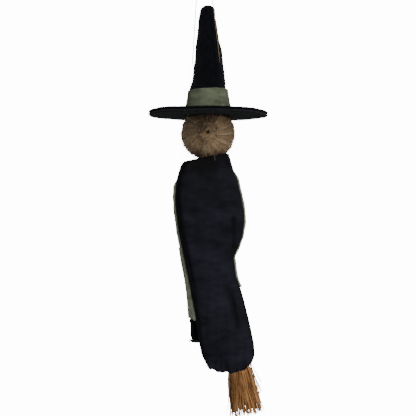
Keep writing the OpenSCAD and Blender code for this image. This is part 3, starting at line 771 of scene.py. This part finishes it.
# Share of the skirt's length, left and right sides, and half depth.
skirt_rows = [[0, 13.2, -10, 10.2], [0.1, 15.6, -11.8, 11], [0.2, 17.8, -13.9, 11.7], [0.35, 16.6, -14.6, 11.8],
              [0.55, 14.7, -16.2, 12], [0.8, 12.9, -19, 12.2], [1, 12.1, -20.9, 12.5]]
fall = np.linspace(0, 1, 90)[:, None]
turn = full_turn(220)
left, right, deep = stations(skirt_rows, fall)
wave = 0.5 - 0.5 * np.cos(9 * turn + 0.7 * np.sin(2 * turn)) + 0.25 * uneven(62, 1.2, turn * 2, fall * 2)
gather = 0.5 * np.sin(31 * turn + 2 * np.sin(5 * turn)) * np.exp(-fall / 0.08)
tuck = wave * (0.3 + 1.3 * fall) - gather * 0.4 + 0.25
x = (left + right) / 2 + ((left - right) / 2 - tuck) * np.cos(turn)
y = skirt_in + (deep - tuck) * np.sin(turn)
z = waist_z - fall * (waist_z - hem_z) + 0.25 * uneven(63, 1.5, turn * 2) * fall
skirt = shell("skirt", spot(x, y, z), dress_t * mm, wrap_u=True)
skirt = place(skirt, sage_velvet, "torso", "sage_velvet", "dress_skirt")


def along_tube(points, radii, cols, extra):
    """The face of a tube along points[i] with radii[i], to which extra(angle, share) adds."""
    along = np.gradient(points, axis=0)
    along /= np.linalg.norm(along, axis=1, keepdims=True)
    side = np.cross(along, [0.1, 0.2, 1.0] if np.abs(along[:, 2]).mean() < 0.8 else [1.0, 0.1, 0.0])
    side /= np.linalg.norm(side, axis=1, keepdims=True)
    other = np.cross(side, along)
    angle = full_turn(cols)
    share = np.linspace(0, 1, len(points))[:, None]
    r = radii[:, None] + extra(angle, share)
    return (points[:, None] + (r * np.cos(angle))[..., None] * side[:, None]
            + (r * np.sin(angle))[..., None] * other[:, None])


elbows = {"left": spot(14, -1, -152), "right": spot(-15.1, -1, -164)}
shoulders = {"left": spot(12, 3, -135), "right": spot(-8.2, 3, -132.2)}
for side in ("left", "right"):
    palm = np.array(from_node("hand_" + side)[0])
    elbow, shoulder = elbows[side], shoulders[side]
    wrist = palm + 6.8 * mm * (elbow - palm) / np.linalg.norm(elbow - palm)
    t = np.linspace(0, 1, 70)[:, None]
    bend = (1 - t) ** 2 * shoulder + 2 * t * (1 - t) * elbow + t ** 2 * wrist
    corner = np.where(t < 0.5, shoulder + (elbow - shoulder) * 2 * t, elbow + (wrist - elbow) * (2 * t - 1))
    arm = 0.3 * bend + 0.7 * corner
    for _ in range(30):
        arm[1:-1] = (arm[:-2] + 2 * arm[1:-1] + arm[2:]) / 4
    thick = (3.1 + 1.3 * np.sin(np.pi * np.clip(t[:, 0] * 1.1, 0, 1)) - 0.9 * smooth((t[:, 0] - 0.8) / 0.1)
             + 0.9 * smooth((t[:, 0] - 0.93) / 0.07)) * mm

    def crumple(angle, share, seed=len(side)):
        """Folds at the elbow and gathers at the wrist."""
        rings = np.sin(34 * share + 1.5 * np.sin(angle + 1)) * np.exp(-((share - 0.5) / 0.16) ** 2)
        tucks = np.sin(13 * angle) * np.exp(-((share - 0.88) / 0.07) ** 2)
        return (0.3 * rings + 0.3 * tucks + 0.12 * uneven(64 + seed, 3, angle * 3, share * 20)) * mm

    face = along_tube(arm, thick, 60, crumple)
    cloth = shell("sleeve_" + side + "_velvet", face, 0.5 * mm, wrap_u=True)
    sleeve = place(cloth, sage_velvet, "arms", "sage_velvet", "sleeve_" + side)

bright_wire, tree, bsdf, where = new_material("soft_aluminium_wire", 0.35, metallic=1.0)
paint(tree, bsdf, noise(tree, where, 0.6 * mm), "#8f8f8c", "#bcbcb8")
dress_node("arm_wire", bright_wire)


# ---- hands ----
# Small carved hands, each closed round the broomstick: a palm behind the stick, four fingers over
# it, and a thumb above.
palms = [np.array(from_node("hand_" + side)[0]) for side in ("left", "right")]
stick_way = (palms[1] - palms[0]) / np.linalg.norm(palms[1] - palms[0])
stick_r = 2.2 * mm
# Height along the stick and first and last angle round it of four fingers and the thumb.
digits = [(-2.9, 55, 285), (-1, 55, 300), (0.9, 55, 300), (2.8, 55, 280), (-2.2, -60, -150)]
for side, palm in zip(("left", "right"), palms):
    to_arm = elbows[side] - palm
    to_arm -= stick_way * (to_arm @ stick_way)
    to_arm /= np.linalg.norm(to_arm)
    across = np.cross(stick_way, to_arm)
    around = full_turn(32)
    tall = np.linspace(0.02, np.pi - 0.02, 24)[:, None]
    plump = 1 + 0.05 * np.sin(4 * tall)
    face = (palm + to_arm * (stick_r + 1.5 * mm)
            + (np.cos(tall) * 3.5 * mm + 0 * around)[..., None] * stick_way
            + (np.sin(tall) * np.cos(around) * 1.75 * mm * plump)[..., None] * to_arm
            + (np.sin(tall) * np.sin(around) * 3.2 * mm * plump)[..., None] * across)
    place(grid_mesh("palm_" + side, face, wrap_u=True), skin, "arms", "head_wood", "hand_" + side)
    fingers = []
    for n, (height, first, last) in enumerate(digits):
        a = np.radians(np.linspace(first, last, 16))[:, None]
        out = stick_r + (1.0 if n < 4 else 1.25) * mm
        slope = np.linspace(0, -1.6, 16)[:, None] * (n == 4)
        fingers.append(palm + out * (np.cos(a) * to_arm + np.sin(a) * across) + (height + slope) * mm * stick_way)
    taper = np.sqrt(np.clip(1 - (np.linspace(-0.75, 1, 16)) ** 8, 0.02, 1)) * 0.98 * mm
    hand = strands("fingers_" + side, np.stack(fingers), np.broadcast_to(taper, (5, 16)), 12)
    place(hand, skin, "arms", "head_wood")


# ---- cape ----
# One straight length of black velvet, hung from the neck: flat across the back, square at the left
# shoulder, pushed out by the right elbow, and drawn to the side over the broom. Its front edges
# are faced with the dress's sage velvet, which shows as a thin line.
black_velvet = velvet("black_velvet", "#09090d", "#20202b", 0.14, 9 * mm)
dowel_in_trunk = 10
core_top = neck_low.z / mm + dowel_in_trunk
cape_top = core_top + 3.4
cape_len = 125.3
cape_t = 1.0

# Height and place of the left and the right side.
left_side = [[-126, 10], [-131, 16], [-140, 18.9], [-150, 19.6], [-160, 18.9], [-172, 17.1], [-187, 14],
             [-205, 10.2], [-222, 7], [-236, 5.2], [-246, 3.4]]
right_side = [[-124, -12.4], [-131, -14.2], [-140, -17.5], [-150, -19.8], [-158, -21.4], [-166, -21.8],
              [-174, -20.4], [-180, -18], [-186, -15.2], [-197, -16.6], [-205, -19.6], [-222, -24], [-236, -27], [-246, -27.6]]
# Share of the length, depth behind the front edges, and how far those stand back.
cape_rows = [[0, 11.5, 0.5], [0.03, 12.9, 0.5], [0.1, 14.2, 0.5], [0.18, 15.2, 0.5], [0.3, 15.7, 0.5],
             [0.38, 14, 2.6], [0.46, 12.4, 5], [0.56, 11.6, 6.5], [0.67, 10.2, 8.2], [0.77, 8.6, 9.6], [0.89, 7.6, 10.6], [1, 6.6, 10.6]]


def signed_power(v, p):
    """The size of v to the power p, with v's own sign."""
    return np.sign(v) * np.abs(v) ** p


def cape_place(share, across):
    """A point of the cape: share runs down its length, across from the left front edge (0) over
    the back to the right one (1). The left corner is squarer than the right one."""
    off_middle = np.abs(2 * across - 1)
    rise = np.where(across < 0.5, 15 * off_middle ** 1.6, 11.5 * off_middle ** 1.4)
    drop = share * (cape_len - rise)
    left, = stations(left_side, cape_top - 3 * (1 - share) - drop)
    right, = stations(right_side, cape_top + 2 * (1 - share) - drop)
    deep, back = stations(cape_rows, share)
    a = np.radians(-9 + 198 * across)
    square = 0.5 + 0.3 * smooth((across - 0.35) / 0.5)
    x = (left + right) / 2 + (left - right) / 2 * signed_power(np.cos(a), square)
    y = body_in + back + deep * signed_power(np.sin(a), square)
    z = cape_top - 0.17 * x * (1 - share) - drop
    return x, y, z


def dent(x, z, at, low, high, width, depth, slant=0.0):
    """Depth of an upright fold: at is its place across, between the heights low and high."""
    along = smooth((z - low) / 5) * smooth((high - z) / 5)
    return depth * along * np.exp(-((x - at - slant * (z - (low + high) / 2)) / width) ** 2)


share = np.linspace(0, 1, 200)[:, None]
across = np.linspace(0, 1, 230)[None, :]
x, y, z = cape_place(share, across)
facing_back = smooth((np.sin(np.radians(-9 + 198 * across)) - 0.1) / 0.5)
relief = (
    dent(x, z, -15, -184, -160, 2.0, -1.1) + dent(x, z, -17.6, -182, -158, 2.2, 0.9)
    + dent(x, z, -14.5, -232, -195, 2.6, -1.3, 0.25) + dent(x, z, -17.6, -232, -203, 2.4, 1.2, 0.14)
    + dent(x, z, -2, -240, -190, 4.5, 0.8, 0.12) + dent(x, z, 6.5, -236, -150, 3.2, -0.5, 0.05)
    + dent(x, z, 0, -138, -122, 7, -0.9) + dent(x, z, 12.5, -240, -134, 1.5, 0.5, 0.1)
    + dent(x, z, -7, -256, -240, 1.2, -1.0) + dent(x, z, -10, -256, -243, 1.0, -0.8)
    + dent(x, z, -3.5, -256, -243, 1.4, -0.7)
)
relief += 0.28 * uneven(71, 9, x * 0.5, z * 1.1) + 0.14 * uneven(72, 3.5, x * 0.6, z)
relief += 0.5 * share ** 2 * uneven(73, 7, x)
crease = np.exp(-((x - stations(left_side, z)[0] + 2.4) / 1.1) ** 2)
relief -= 2.0 * crease * smooth((z + 212) / 20) * smooth((-z - 128) / 6)
y = y + relief * facing_back
x = x + 0.15 * uneven(74, 12, z + 0 * x) * np.abs(np.cos(np.radians(198 * across)))
z = z + 0.45 * smooth((share - 0.95) / 0.05) * uneven(75, 5, x + 0 * z)
cape = shell("cape_velvet", spot(x, y, z), cape_t * mm)
at = np.empty(len(cape.vertices) * 3)
cape.vertices.foreach_get("co", at)
px, py, pz = at.reshape(-1, 3).T / mm - [[axis_x / mm], [axis_y / mm], [0]]
# Painted shade on the cape: the turned-away side strips, the hollow under the head, the fold valleys at the right
# elbow and lower right, and the whole upper part are painted darker; only the faint random term is the velvet's own
# unevenness.
side_strip_shade = 1 - (smooth((stations(left_side, pz)[0] - px - 1.6) / 2.0)
                  * smooth((px - stations(right_side, pz)[0] - 0.4) / 1.6))
shade_under_head = 0.75 * np.exp(-((px - 1) / 10) ** 2 - ((pz + 127) / 12) ** 2)
fold = np.exp(-((px + 14.5 - 0.25 * (pz + 213)) / 2.6) ** 2) * smooth((pz + 232) / 8) * smooth((-pz - 197) / 8)
fold += np.exp(-((px + 15) / 1.4) ** 2) * smooth((pz + 184) / 6) * smooth((-pz - 158) / 6)
painted_shade = 0.8 * side_strip_shade + shade_under_head + 0.6 * fold + 0.1 * uneven(77, 6, px, pz)
painted_shade = np.clip(painted_shade + 0.42 * smooth((pz + 215) / 85), 0, 0.95)
mark(cape, "painted_shade", painted_shade)
cape = place(cape, black_velvet, "torso", "black_velvet", "cape")

# Facing: a folded strip of sage velvet along each front edge, a little proud of the black.
facing_strips = []
for edge_at, sign, proud, facing_end in ((0.0, 1, 1.9, 0.87), (1.0, -1, 1.3, 0.68)):
    facing_share = np.linspace(0.08, facing_end, 120)
    ex, ey, ez = cape_place(facing_share, np.full(120, edge_at))
    wave = 0.18 * uneven(76, 9, ez)
    fade = smooth((facing_share - 0.08) / 0.05)
    offsets = [(0.2, 2.6), (0.8, 2.3), (1, 0.6), (0.55, -0.9), (-1.2, -1.15), (-3.2, -0.2), (-4.6, 1.6)]
    strip = [spot(ex + sign * (dx * proud * fade if dx > 0 else dx - 0.5) + wave, ey + dy, ez)
             for dx, dy in offsets]
    facing_strips.append(np.stack(strip, 1))
for name, strip, facing_len in zip(("left", "right"), facing_strips, (90, 70)):
    mesh = shell("cape_facing_" + name, strip, 0.35 * mm)
    facing = place(mesh, sage_velvet, "torso", "sage_velvet")

# Tie: a twisted black cord from corner to corner of the cape, round the front of the neck, and a
# small bow of the same cord.
cord_black, tree, bsdf, where = new_material("black_rayon_cord", 0.45, sheen_weight=0.2)
paint(tree, bsdf, noise(tree, where, 0.8 * mm), "#050506", "#1b1b20")
tie_mid, bow_mid = (from_node(node)[0] for node in ("cape_tie", "tie_bow"))
tie_z, bow_y = tie_mid.z / mm, (bow_mid.y - axis_y) / mm
tie_turn = np.radians(np.linspace(176, 364, 90))
tie_x = 1.2 + 12.8 * np.cos(tie_turn)
tie_y = body_in + 14.2 * np.sin(tie_turn)
tie_sag = tie_z + 1.5 * np.abs(np.cos(tie_turn)) ** 3 - 0.6 * np.sin(-tie_turn)
plies = [spot(tie_x + 0.27 * np.cos(3 * np.degrees(tie_turn) / 10 + k), tie_y,
              tie_sag + 0.27 * np.sin(3 * np.degrees(tie_turn) / 10 + k)) for k in (0, 2.09, 4.19)]
tie_mesh = strands("tie_cord", np.stack(plies), np.full((3, 90), 0.3 * mm), 8)
place(tie_mesh, cord_black, "torso", "black_cord", "cape_tie")
bow_t = np.linspace(0, 1, 40)
bow_paths = []
for sign in (-1, 1):
    loop_turn = np.pi * 2 * bow_t
    bow_paths.append(spot(1.2 + sign * 5.2 * np.sin(loop_turn / 2) ** 1.2 * (1 - 0.12 * np.cos(loop_turn)),
                          bow_y - 0.5 + 0.4 * np.sin(loop_turn),
                          tie_z + 1.7 * np.sin(loop_turn) - 0.6 * np.sin(loop_turn / 2)))
    bow_paths.append(spot(1.2 + sign * (0.4 + 2.6 * bow_t + 0.5 * np.sin(4 * bow_t)),
                          bow_y - 0.4 - 0.5 * np.sin(3 * bow_t),
                          tie_z - 0.4 - 7.5 * bow_t - 0.6 * sign * bow_t))
knot_turn = 2 * np.pi * bow_t
bow_paths.append(spot(1.2 + 0.9 * np.cos(knot_turn), bow_y - 0.3 + 0.6 * np.sin(2 * knot_turn),
                      tie_z + 0.9 * np.sin(knot_turn)))
bow = strands("tie_bow_cord", np.stack(bow_paths), np.full((5, 40), 0.42 * mm), 8)
place(bow, cord_black, "torso", "black_cord", "tie_bow")


# ---- broom ----
# A peeled twig for a stick, with its knots left on, and a bundle of coconut and grass fibres bound
# to it twice with waxed twine; the fibres end raggedly.
twig, tree, bsdf, where = new_material("peeled_twig", 0.6)
grain = noise(tree, stretched(tree, where, (1, 1, 0.08)), 0.5 * mm, 6, 0.65)
paint(tree, bsdf, spread(tree, grain, 0.35, 0.7), "#4d3220", "#916843")
bumped(tree, bsdf, grain, 0.15 * mm)
stick_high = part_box("broom_stick")[1].z
stick_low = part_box("broom_stick")[0].z
bristle_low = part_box("broom_bristles")[0].z
bind_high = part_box("binding_upper")[1].z


def on_stick(z):
    """The point of the stick's middle line at a height in metres."""
    z = np.asarray(z)
    return palms[0] + ((z - palms[0][2]) / stick_way[2])[..., None] * stick_way


stick_line = on_stick(np.linspace(stick_high - 0.4 * mm, stick_low + 0.4 * mm, 120))
twig_r = stick_r * (0.96 + 0.02 * uneven(81, 0.2, np.linspace(0, 1, 120)))
twig_r[0] *= 0.8


def twig_knots(angle, share):
    """Raised knots of the twig, and a faint ribbing of its wood."""
    knots = [(0.31, 1.0, 0.25), (0.36, 2.5, 0.3), (0.56, 5.2, 0.25), (0.7, 0.6, 0.3)]
    bumps = sum(h * np.exp(-((share - at) / 0.012) ** 2 - (np.sin((angle - a) / 2) / 0.35) ** 2)
                for at, a, h in knots)
    return (bumps + 0.05 * np.sin(5 * angle + 8 * share)) * mm


stick_face = along_tube(stick_line, twig_r, 28, twig_knots)
ends = [np.repeat(stick_line[i][None, None], 28, 1) for i in (0, -1)]
stick_mesh = grid_mesh("twig_stick", np.concatenate([ends[0], stick_face, ends[1]], 0), wrap_u=True)
place(stick_mesh, twig, "broom", "broom_wood", "broom_stick")

straw, tree, bsdf, where = new_material("broom_fibre", 0.6)
tint = add(tree, "ShaderNodeAttribute", attribute_name="tint").outputs["Fac"]
fleck = noise(tree, stretched(tree, where, (1, 1, 0.2)), 1 * mm, 3)
straw_tone = mixed(tree, tint, "#7a4520", "#e2a866")
paint(tree, bsdf, spread(tree, fleck, 0.5, 0.85), straw_tone, "#edc084")
rng = np.random.default_rng(82)
bunch, joints = 560, 12
t = np.linspace(0, 1, joints)[None, :]
bristle_top = bind_high + 1.5 * mm
full = (bristle_top - bristle_low) / -stick_way[2]
inner = np.sqrt(rng.uniform(0, 1, bunch))[:, None]
around = rng.uniform(0, 2 * np.pi, bunch)[:, None]
reach = full * (rng.uniform(0.8, 1.0, bunch) - 0.1 * rng.random(bunch) * (rng.random(bunch) < 0.3))[:, None]
down = reach * t
spread_out = (stick_r / mm + 0.3 + 1.5 * inner) * (1 - smooth(t * 3)) + smooth(t * 3) * 3.6 * inner
spread_out = (spread_out + 6.6 * inner * (t * reach / full) ** 0.85
              - 0.8 * np.exp(-((t - 0.18) / 0.05) ** 2) * inner)
curl = rng.normal(0, 0.9, (bunch, 1)) * t ** 2 + 0.28 * np.sin(14 * t + around * 5) * smooth(t * 2)
side_x = np.cross(stick_way, [0, 1.0, 0])
side_x /= np.linalg.norm(side_x)
side_y = np.cross(stick_way, side_x)
start = on_stick(bristle_top)
flat = 0.85
paths = (start + down[..., None] * stick_way
         + ((spread_out * np.cos(around) + curl) * mm)[..., None] * side_x
         + ((spread_out * np.sin(around) * flat + rng.normal(0, 0.4, (bunch, 1)) * t ** 2) * mm)[..., None] * side_y)
thin = np.broadcast_to(0.25 * mm * (1 - 0.25 * t ** 2), (bunch, joints)) * rng.uniform(0.7, 1.3, (bunch, 1))
straw_tint = np.clip(rng.normal(0.55, 0.25, bunch), 0, 1)
place(strands("bristles", paths, thin, 4, straw_tint), straw, "broom", "broom_fibre", "broom_bristles")
loose = 64
t = np.linspace(0, 1, 10)[None, :]
around = rng.normal(np.pi, 1.2, loose)[:, None]
wide = rng.uniform(6, 14, loose)[:, None]
swing = rng.normal(0, 1.2, (loose, 1))
paths = (start + (full * rng.uniform(0.6, 1.0, (loose, 1)) * t)[..., None] * stick_way
         + ((2.5 * np.cos(around) + (wide - 3) * np.cos(around) * t ** 1.5
             + swing * np.sin(3 * t)) * mm)[..., None] * side_x
         + ((2.5 * np.sin(around) + (wide - 3) * np.sin(around) * t ** 1.5) * mm)[..., None] * side_y)
strays = strands("stray_bristles", paths, np.full((loose, 10), 0.24 * mm), 4, rng.random(loose))
place(strays, straw, "broom", "broom_fibre")

twine, tree, bsdf, where = new_material("waxed_twine", 0.5)
twist = bands(tree, where, 2.5 * mm, 2.0, "DIAGONAL")
paint(tree, bsdf, twist, "#3c2614", "#7b5632")
bumped(tree, bsdf, twist, 0.08 * mm)
for node, name in (("binding_upper", "twine_upper"), ("binding_lower", "twine_lower")):
    middle, low, high = from_node(node)
    half_w = (high.x - low.x) / 2 - 0.55 * mm
    tall = (high.z - low.z) - 2 * half_w * 0.163
    turns = max(2, int(tall / (0.62 * mm)))
    wind = np.linspace(0, turns * 2 * np.pi, turns * 28)
    height = middle.z + tall / 2 - 0.25 * mm - (tall - 0.5 * mm) * wind / wind[-1]
    core = on_stick(height)
    girth = half_w + 0.1 * mm * np.sin(wind * 0.37)
    path = core + girth[:, None] * (np.cos(wind)[:, None] * side_x + np.sin(wind)[:, None] * side_y)
    place(strands(name, path[None], np.full((1, len(wind)), 0.36 * mm), 8), twine, "broom", "binding_twine", node)


# ---- legs ----
# Stuffed stocking legs in dark ribbed knit, felt boots with a turned-down cuff, and a thicker felt
# sole sewn on with blanket stitches.
knit, tree, bsdf, where = new_material("ribbed_knit", 0.9, sheen_weight=0.1)
rib = bands(tree, where, 4 * mm, 1.0, "X")
course = bands(tree, where, 2.6 * mm, 1.0, "Z")
knot_height = add(tree, "ShaderNodeMath", {0: rib, 1: course}, operation="MULTIPLY").outputs[0]
paint(tree, bsdf, knot_height, "#16171a", "#35373a")
bumped(tree, bsdf, knot_height, 0.2 * mm)
boot_felt = felt_material("black_boot_felt", "#030304", "#09090c", "#17171d")
sole_felt = felt_material("grey_green_sole_felt", "#2c2e24", "#46483b", "#5b5d50")

for side in ("left", "right"):
    body = side + "_leg"
    middle, low, high = from_node("leg_" + side)
    leg_x, leg_y = (middle.x - axis_x) / mm, (middle.y - axis_y) / mm
    leg_r = half_width("leg_" + side)
    top, bottom = high.z / mm, low.z / mm
    z = np.linspace(top - 0.2, bottom, 60)[:, None]
    turn = full_turn(40)
    over = np.clip((top - z) / 2.4, 0, 1)
    girth = leg_r * np.sqrt(1 - (1 - over) ** 2 * 0.95) * (0.97 + 0.04 * uneven(91, 7, z + 0 * turn, turn))
    flat_y = 1 - 0.1 * (1 - over)
    leg_face = spot(leg_x + girth * np.cos(turn), leg_y + girth * np.sin(turn) * flat_y, z)
    leg_mesh = grid_mesh("stocking_" + side, leg_face, wrap_u=True)
    place(leg_mesh, knit, body, "stocking_knit", "leg_" + side)

    _, low, high = from_node("boot_" + side)
    boot_r = half_width("boot_" + side)
    top, bottom = high.z / mm, low.z / mm
    toe = (low.y - axis_y) / mm - leg_y
    level = np.linspace(0, 1, 60)[:, None]
    z = bottom + level * (top - bottom)
    foot = 1 - smooth((level - 0.16) / 0.34)
    front = boot_r + foot * (-toe - boot_r) * (1 - 0.35 * smooth(level / 0.4))
    wide = boot_r * (1 - 0.05 * foot + 0.05 * smooth((level - 0.85) / 0.1)
                     - 0.03 * smooth((0.85 - level) / 0.1) * (1 - foot))
    crease = 1 - 0.05 * np.exp(-((level - 0.45) / 0.06) ** 2) - 0.04 * np.exp(-((level - 0.6) / 0.04) ** 2)
    round_in = np.sqrt(1 - ((0.2 - level) / 0.2).clip(0, 1) ** 2 * 0.62)
    ahead = np.sin(turn) < 0
    length = np.where(ahead, front, boot_r)
    narrow = 1 - 0.16 * foot * np.where(ahead, np.abs(np.sin(turn)) ** 2, 0)
    x = leg_x + wide * crease * round_in * narrow * np.cos(turn) + 0.12 * uneven(92, 5, z + 0 * turn, turn * 3)
    y = leg_y + length * crease * round_in * np.sin(turn) + 0.12 * uneven(93, 5, z + 0 * turn, turn * 3)
    boot_face = spot(x, y, z + 0 * turn)
    boot_mesh = shell("felt_boot_" + side, boot_face, 0.9 * mm, wrap_u=True)
    place(boot_mesh, boot_felt, body, "boot_felt", "boot_" + side)
    cuff_z = np.linspace(top - 2.2, top + 0.1, 8)[:, None]
    cuff_r = boot_r * 1.03 + 0.25 * np.sin(np.linspace(0, np.pi, 8))[:, None] + 0.08 * uneven(94, 2, turn * 4)
    cuff_face = spot(leg_x + cuff_r * np.cos(turn), leg_y + cuff_r * np.sin(turn), cuff_z)
    cuff = shell("boot_cuff_" + side, cuff_face, 0.6 * mm, wrap_u=True)
    place(cuff, boot_felt, body, "boot_felt")

    _, low, high = from_node("sole_" + side)
    top, bottom = high.z / mm, low.z / mm
    sole_r = half_width("sole_" + side)
    ring = [np.linspace(0.02, 0.78, 8), np.linspace(0.78, 0.93, 6), np.linspace(0.93, 0.02, 8)]
    ring = np.concatenate(ring)[:, None]
    height = np.concatenate([np.full(8, bottom), np.linspace(bottom, top, 6), np.full(8, top)])[:, None]
    soft = 1 + 0.025 * np.concatenate([np.zeros(7), np.sin(np.linspace(0, np.pi, 8)), np.zeros(7)])[:, None]
    tip = (low.y - axis_y) / mm - leg_y
    wide_turn = full_turn(72)
    ahead = np.where(np.sin(wide_turn) < 0, -tip, sole_r)
    narrow = 1 - 0.2 * np.where(np.sin(wide_turn) < 0, np.sin(wide_turn) ** 2, 0)
    sole_face = spot(leg_x + sole_r * ring * soft * narrow * np.cos(wide_turn),
                     leg_y + ahead * ring * soft * np.sin(wide_turn), height + 0 * wide_turn)
    place(grid_mesh("felt_sole_" + side, sole_face, wrap_u=True), sole_felt, body, "sole_felt", "sole_" + side)
    stitch_turn = full_turn(26).T
    stitch_ahead = np.where(np.sin(stitch_turn) < 0, -tip, sole_r)
    stitch_narrow = 1 - 0.2 * np.where(np.sin(stitch_turn) < 0, np.sin(stitch_turn) ** 2, 0)
    s = np.linspace(0, 1, 6)[None, :]
    bow_out = 1.0 + 0.025 * np.sin(np.pi * s)
    stitch_path = spot(leg_x + (sole_r + 0.05) * bow_out * stitch_narrow * np.cos(stitch_turn),
                       leg_y + (stitch_ahead + 0.05) * bow_out * np.sin(stitch_turn),
                       bottom + 0.1 + (top - bottom + 0.7) * s + 0 * stitch_turn)
    stitches = strands("sole_stitches_" + side, stitch_path, np.full((26, 6), 0.13 * mm), 5)
    place(stitches, cord_black, body, "sole_felt")
